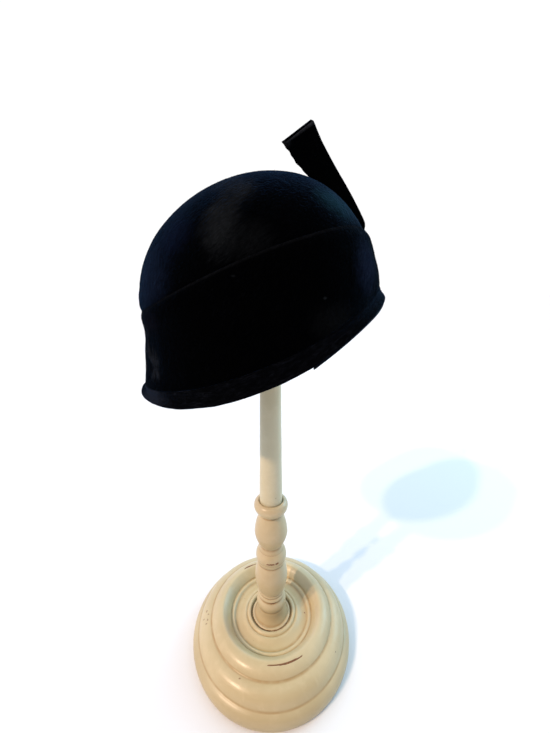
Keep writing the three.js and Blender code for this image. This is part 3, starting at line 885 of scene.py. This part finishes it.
def paint_material(name, light, deep, shift):
    """Cream paint over turned wood: brush lines round it, painted warm shade in hollows and painted highlight
    on ridges, bare wood at the chips.
    """
    n = Nodes(bpy.data.materials.new(name))
    even = n.place()
    round_place = n.add("ShaderNodeSeparateXYZ")
    n.join(even, round_place.inputs["Vector"])
    reach = n.math("POWER", n.plus(n.math("POWER", round_place.outputs["X"], 2.0),
                                   n.math("POWER", round_place.outputs["Y"], 2.0)), 0.5)
    turning = n.add("ShaderNodeCombineXYZ")
    n.join(n.times(round_place.outputs["X"], 0.06), turning.inputs["X"])
    n.join(n.plus(n.times(round_place.outputs["Y"], 0.06), reach), turning.inputs["Y"])
    n.join(round_place.outputs["Z"], turning.inputs["Z"])
    brush = n.noise(turning.outputs["Vector"], 900, 3, 0.6)
    clouds = n.noise(even, 22 + shift, 3, 0.5)
    mottle = n.noise(even, 95 + shift, 3, 0.55, 0.6)
    grain = n.noise(even, 1600, 2, 0.6)
    # Painted shade, warm-tinted, darkens the hollows and painted highlight lightens the ridges, both from the
    # hollow field.
    hollow = n.range(n.attribute("hollow"), 0.04, 0.5)
    ridge_highlight = n.range(n.attribute("hollow"), -0.05, -0.5)
    colour = n.blend(n.range(clouds, 0.3, 0.72), light, deep)
    rubbed = n.times(n.range(mottle, 0.45, 0.75), 0.35)
    colour = n.blend(rubbed, colour, tinted(light, (1.12, 1.12, 1.16)))
    lined = n.times(n.range(brush, 0.5, 0.8), 0.22)
    colour = n.blend(lined, colour, deep)
    hollow_shade_colour = tinted(deep, (0.78, 0.66, 0.5))
    hollow_shade_share = n.times(hollow, n.range(mottle, 0.25, 0.7, 0.45, 0.95))
    colour = n.blend(hollow_shade_share, colour, hollow_shade_colour)
    pale = tinted(light, (1.1, 1.1, 1.15))
    colour = n.blend(n.times(ridge_highlight, 0.3), colour, pale)
    # Painted shade: the lowest step of the base is darker.
    foot = n.range(round_place.outputs["Z"], 0.021, 0.013)
    foot = n.times(foot, n.range(clouds, 0.2, 0.7, 0.6, 1.0))
    shaded = tinted(deep, (0.78, 0.76, 0.74))
    colour = n.blend(n.times(foot, 0.5), colour, shaded)
    # Fly specks and pinholes, few and small.
    dots = n.cells(even, 130)
    chosen = n.range(n.noise(even, 70, 0), 0.63, 0.67)
    speck = n.times(n.range(dots, 0.05, 0.09, 0.8, 0.0), chosen)
    colour = n.blend(speck, colour, (0.12, 0.065, 0.03, 1))
    bare = n.attribute("worn")
    wood = n.blend(n.range(grain, 0.35, 0.65), (0.09, 0.034, 0.012, 1), (0.24, 0.105, 0.04, 1))
    colour = n.blend(n.range(bare, 0.15, 0.5), colour, wood)
    height = n.plus(n.times(brush, 0.5), n.times(mottle, 0.9))
    height = n.plus(height, n.times(grain, 0.12))
    height = n.math("SUBTRACT", height, n.times(speck, 1.5))
    normal = n.bump(height, 0.00028, 0.55)
    roughness = n.plus(n.range(mottle, 0.3, 0.7, 0.3, 0.46), n.times(bare, 0.4))
    n.constants(Specular_IOR_Level=0.42, Coat_Weight=0.12, Coat_Roughness=0.22)
    return n.finish(colour, roughness, normal)


# ---- The camera, the floor and the lights ----

CAMERA_PITCH = 15.39
CAMERA_YAW = 70.0
CAMERA_BACK = 268.0
CAMERA_ASIDE = 4.15
CAMERA_HEIGHT = 394.0
LENS = 15.19
LIGHT_AIM = (0, 0, 300)
RIGHTWARD = np.array([math.cos(math.radians(CAMERA_YAW)), math.sin(math.radians(CAMERA_YAW)), 0.0])
FORWARD = np.array([-RIGHTWARD[1], RIGHTWARD[0], 0.0])


def make_camera():
    camera = bpy.data.cameras.new("camera")
    camera.lens = LENS
    camera.sensor_width = 36.0
    camera.clip_start = 0.01
    camera.clip_end = 50.0
    holder = put("camera", camera)
    place = -CAMERA_BACK * FORWARD + CAMERA_ASIDE * RIGHTWARD + np.array([0, 0, CAMERA_HEIGHT])
    holder.location = Vector(place * MM)
    holder.rotation_euler = (math.radians(90 - CAMERA_PITCH), 0, math.radians(CAMERA_YAW))
    bpy.context.scene.camera = holder


def make_floor():
    mesh = bpy.data.meshes.new("floor")
    reach = 14.0
    corners = [(-reach, -reach, 0), (reach, -reach, 0), (reach, reach, 0), (-reach, reach, 0)]
    mesh.from_pydata(corners, [], [(0, 1, 2, 3)])
    floor = put("floor", mesh)
    n = Nodes(bpy.data.materials.new("floor"))
    dust = n.noise(n.place(), 3.0, 2)
    n.constants(Specular_IOR_Level=0.2)
    mesh.materials.append(n.finish(n.blend(dust, (0.72, 0.72, 0.73, 1), (0.74, 0.74, 0.74, 1)), 0.7))


def make_light(name, towards, distance, size, power, colour, far=False):
    """A soft light in the direction towards (forward, right, up as the camera sees them) from the hat.

    A far one lights everything evenly, and its size is its angle across in degrees.
    """
    direction = towards[0] * FORWARD + towards[1] * RIGHTWARD + np.array([0, 0, towards[2]])
    direction /= np.linalg.norm(direction)
    light = bpy.data.lights.new(name, "SUN" if far else "AREA")
    if far:
        light.angle = math.radians(size)
    else:
        light.shape = "SQUARE"
        light.size = size
    light.energy = power
    light.color = colour
    lamp = put(name, light)
    aim = Vector(LIGHT_AIM) * MM
    lamp.location = aim + Vector(direction * distance)
    lamp.rotation_euler = Vector(direction).to_track_quat("Z", "Y").to_euler()


def make_world():
    """A white room that lights coolly from its walls and dimly from the camera's side; it looks white."""
    bpy.context.scene.world = bpy.data.worlds.new("room")
    n = Nodes(bpy.context.scene.world)
    place = n.add("ShaderNodeTexCoord").outputs["Generated"]

    def graded(direction, low, high, to_low, to_high):
        towards = n.add("ShaderNodeVectorMath", operation="DOT_PRODUCT")
        n.feed(towards.inputs[1], direction)
        n.join(place, towards.inputs[0])
        return n.range(towards.outputs["Value"], low, high, to_low, to_high)

    ground = n.tree.nodes["Background"]
    n.join(graded(-FORWARD, -0.1, 0.9, 1.25, 0.22), ground.inputs["Strength"])
    height = graded((0, 0, 1), 0.1, 0.9, 0.0, 1.0)
    n.join(n.blend(height, (0.78, 1.02, 1.42, 1), (0.97, 1.04, 1.12, 1)), ground.inputs["Color"])
    plain = n.fill(n.add("ShaderNodeBackground"), Color=(1.0, 1.0, 1.0, 1), Strength=1.05)
    choose = n.add("ShaderNodeMixShader")
    n.join(n.add("ShaderNodeLightPath").outputs["Is Camera Ray"], choose.inputs["Fac"])
    n.join(ground.outputs["Background"], choose.inputs[1])
    n.join(plain.outputs["Background"], choose.inputs[2])
    n.join(choose.outputs["Shader"], n.tree.nodes["World Output"].inputs["Surface"])


# ---- The scene ----

def wear(object_name, material):
    bpy.data.objects[object_name].data.materials.append(material)


def build_stand():
    base_marks = [
        crack(58.4, -23.5, 12.5, 0.6, 0.4),
        crack(56.3, -181, -162, 0.8, 0.7),
        chip(-109.6, 0, 1.8, 1.3, 74.2, 0.42), chip(-106.5, 0, 1.3, 1.2, 71.6, 0.44),
        chip(-103.5, 0, 1.5, 1.1, 76.4, 0.42), chip(-101.8, 0, 1.2, 1.2, 71.8, 0.46),
        chip(-98.6, 0, 1.5, 1.3, 73.4, 0.44), chip(-44.7, 0, 1.5, 0.9, 70, 0.5),
        chip(68.1, 0, 1.0, 0.7, 37.9, 0.6),
    ]
    # The wide, weak marks are rings all round the stem at its grooves and its foot, which darken them towards
    # brown wood.
    stem_marks = [
        chip(-33, 113.3, 1.4, 0.6, None, 0.8), chip(-17.5, 113.4, 3.4, 0.75), chip(3, 113.7, 1.8, 0.9),
        chip(-13, 57.9, 4.2, 0.75), chip(-10, 109.7, 60, 0.5, None, 0.27), chip(-10, 104, 60, 0.6, None, 0.3),
        chip(-10, 63.2, 60, 0.5, None, 0.28), chip(-10, 57.9, 60, 0.5, None, 0.3),
        chip(-10, 44.4, 60, 0.6, None, 0.28), chip(-10, 121, 60, 0.6, None, 0.25),
        chip(-10, 29.3, 90, 0.6, None, 0.45),
    ]
    dowel_marks = [chip(-18.5, 201.5, 0.7, 0.7, None, 0.4), chip(7.2, 189.3, 0.8, 0.6, None, 0.5)]
    turned_piece("stand_base", BASE_OUTLINE, 288, 0.7, base_marks)
    turned_piece("stand_stem", STEM_OUTLINE, 128, 0.5, stem_marks)
    turned_piece("stand_dowel", DOWEL_OUTLINE, 64, 2.0, dowel_marks)
    turned_piece("stand_head", HEAD_OUTLINE, 96, 2.0)


def build_hat():
    crown = crown_piece()
    drape = drape_piece()
    brim = brim_piece()
    ribbon_piece()
    tab = tab_piece()
    fuzz("crown_nap", crown, 40000, 0.9, (0.9, 0.5), 0.25, 51)
    fuzz("drape_nap", drape, 40000, 0.9, (0.5, 0.8), 0.3, 52)
    fuzz("brim_nap", brim, 20000, 0.8, (1.0, -0.2), 0.3, 53)
    fuzz("tab_nap", tab, 16000, 0.9, (0.2, 0.9), 0.35, 54)


make_camera()
make_floor()
make_world()
make_light("left lamp", (-0.68, -0.735, 0.84), 3.0, 2.0, 1.28, (1.0, 0.72, 0.52), far=True)
make_light("near lamp", (-0.57, -0.825, 0.84), 3.0, 2.0, 1.28, (1.0, 0.72, 0.52), far=True)
make_light("window", (-0.45, -0.75, 0.62), 1.6, 0.5, 1.2, (1.0, 0.98, 0.95))
make_light("right window", (0.45, 0.75, 0.38), 1.8, 0.9, 14.0, (0.34, 0.8, 1.0))
build_stand()
build_hat()

# Painted sheen and reflection on the crown: a grey patch of nap reflection, bluer patches at the front and a
# teal one at the back.
CROWN_PAINTED_SHEEN = [
    ((58, -51, 428), (13, 13, 24), 0.0105, NEUTRAL_PATCH_TINT),
    ((48, -38, 448), (13, 13, 17), 0.009, NEUTRAL_PATCH_TINT),
    ((34, -42, 459), (12, 14, 14), 0.007, NEUTRAL_PATCH_TINT),
    ((70, -36, 416), (12, 15, 15), 0.0035, NEUTRAL_PATCH_TINT),
    ((28, -94, 396), (22, 20, 24), 0.013, (0.26, 0.4, 1.0)),
    ((37, -77, 421), (14, 16, 16), 0.009, (0.2, 0.3, 1.0)),
    ((58, 29, 445), (13, 20, 13), 0.025, (0.2, 0.88, 1.2)),
]
# Painted sheen on the drape; the last two rows are small pale specks.
DRAPE_PAINTED_SHEEN_AND_SPECKS = [
    ((83, 16, 369), (12, 20, 12), 0.003, NEUTRAL_PATCH_TINT),
    ((66, 47, 405), (14, 16, 20), 0.022, (0.3, 0.42, 1.0)),
    ((28, -96, 368), (14, 12, 8), 0.003, (0.8, 0.6, 1.1)),
    ((71, -47, 397), (1.2, 1.5, 0.9), 0.006, NEUTRAL_PATCH_TINT),
    ((80, 8, 384), (1.4, 1.6, 1.0), 0.012, NEUTRAL_PATCH_TINT),
]
# Painted sheen on the brim's front.
BRIM_PAINTED_SHEEN = [
    ((26, -102, 314), (26, 16, 12), 0.02, (0.6, 0.72, 1.1)),
]
CROWN_NAP = (math.radians(-52), 0, 0)
DRAPE_NAP = (math.radians(-30), 0, 0)
BRIM_NAP = (0, math.radians(90), 0)
TAB_NAP = (math.radians(35), 0, 0)
for name, material in {
    "crown_shell": felt_material("crown_felt", CROWN_NAP, 7.0, lint=0.4, sheen=0.12, painted_sheen_patches=CROWN_PAINTED_SHEEN),
    "crown_nap": felt_material("crown_fibre", CROWN_NAP, 7.0, sheen=0.012, painted_sheen_patches=CROWN_PAINTED_SHEEN),
    "drape_shell": felt_material("drape_felt", DRAPE_NAP, 4.0, sheen=0.042, painted_sheen_patches=DRAPE_PAINTED_SHEEN_AND_SPECKS, folds=0.014),
    "drape_nap": felt_material("drape_fibre", DRAPE_NAP, 4.0, sheen=0.01, painted_sheen_patches=DRAPE_PAINTED_SHEEN_AND_SPECKS),
    # Painted light: the brim's felt and fibres are lighter than the crown's and drape's, for the light its
    # outward slope catches.
    "brim_shell": felt_material("brim_felt", BRIM_NAP, 6.0, black=0.0008, fibre=0.013, sheen=0.12,
                                painted_sheen_patches=BRIM_PAINTED_SHEEN, use="UV", unit=0.001),
    "brim_nap": felt_material("brim_fibre", DRAPE_NAP, 4.0, fibre=0.008, sheen=0.02),
    "ribbon_band": ribbon_material(),
    "tab_strip": felt_material("tab_felt", TAB_NAP, 4.0, lint=0.5, sheen=0.04),
    "tab_nap": felt_material("tab_fibre", TAB_NAP, 4.0, sheen=0.01),
    "stand_base_turned": paint_material("base_paint", (0.5, 0.405, 0.23, 1), (0.45, 0.35, 0.185, 1), 0.0),
    "stand_stem_turned": paint_material("stem_paint", (0.49, 0.39, 0.225, 1), (0.435, 0.33, 0.18, 1), 3.0),
    "stand_dowel_turned": paint_material("dowel_paint", (0.54, 0.475, 0.31, 1), (0.5, 0.43, 0.265, 1), 7.0),
    "stand_head_turned": paint_material("head_paint", (0.5, 0.4, 0.25, 1), (0.45, 0.35, 0.2, 1), 9.0),
}.items():
    wear(name, material)

bpy.context.scene.view_settings.view_transform = "Standard"
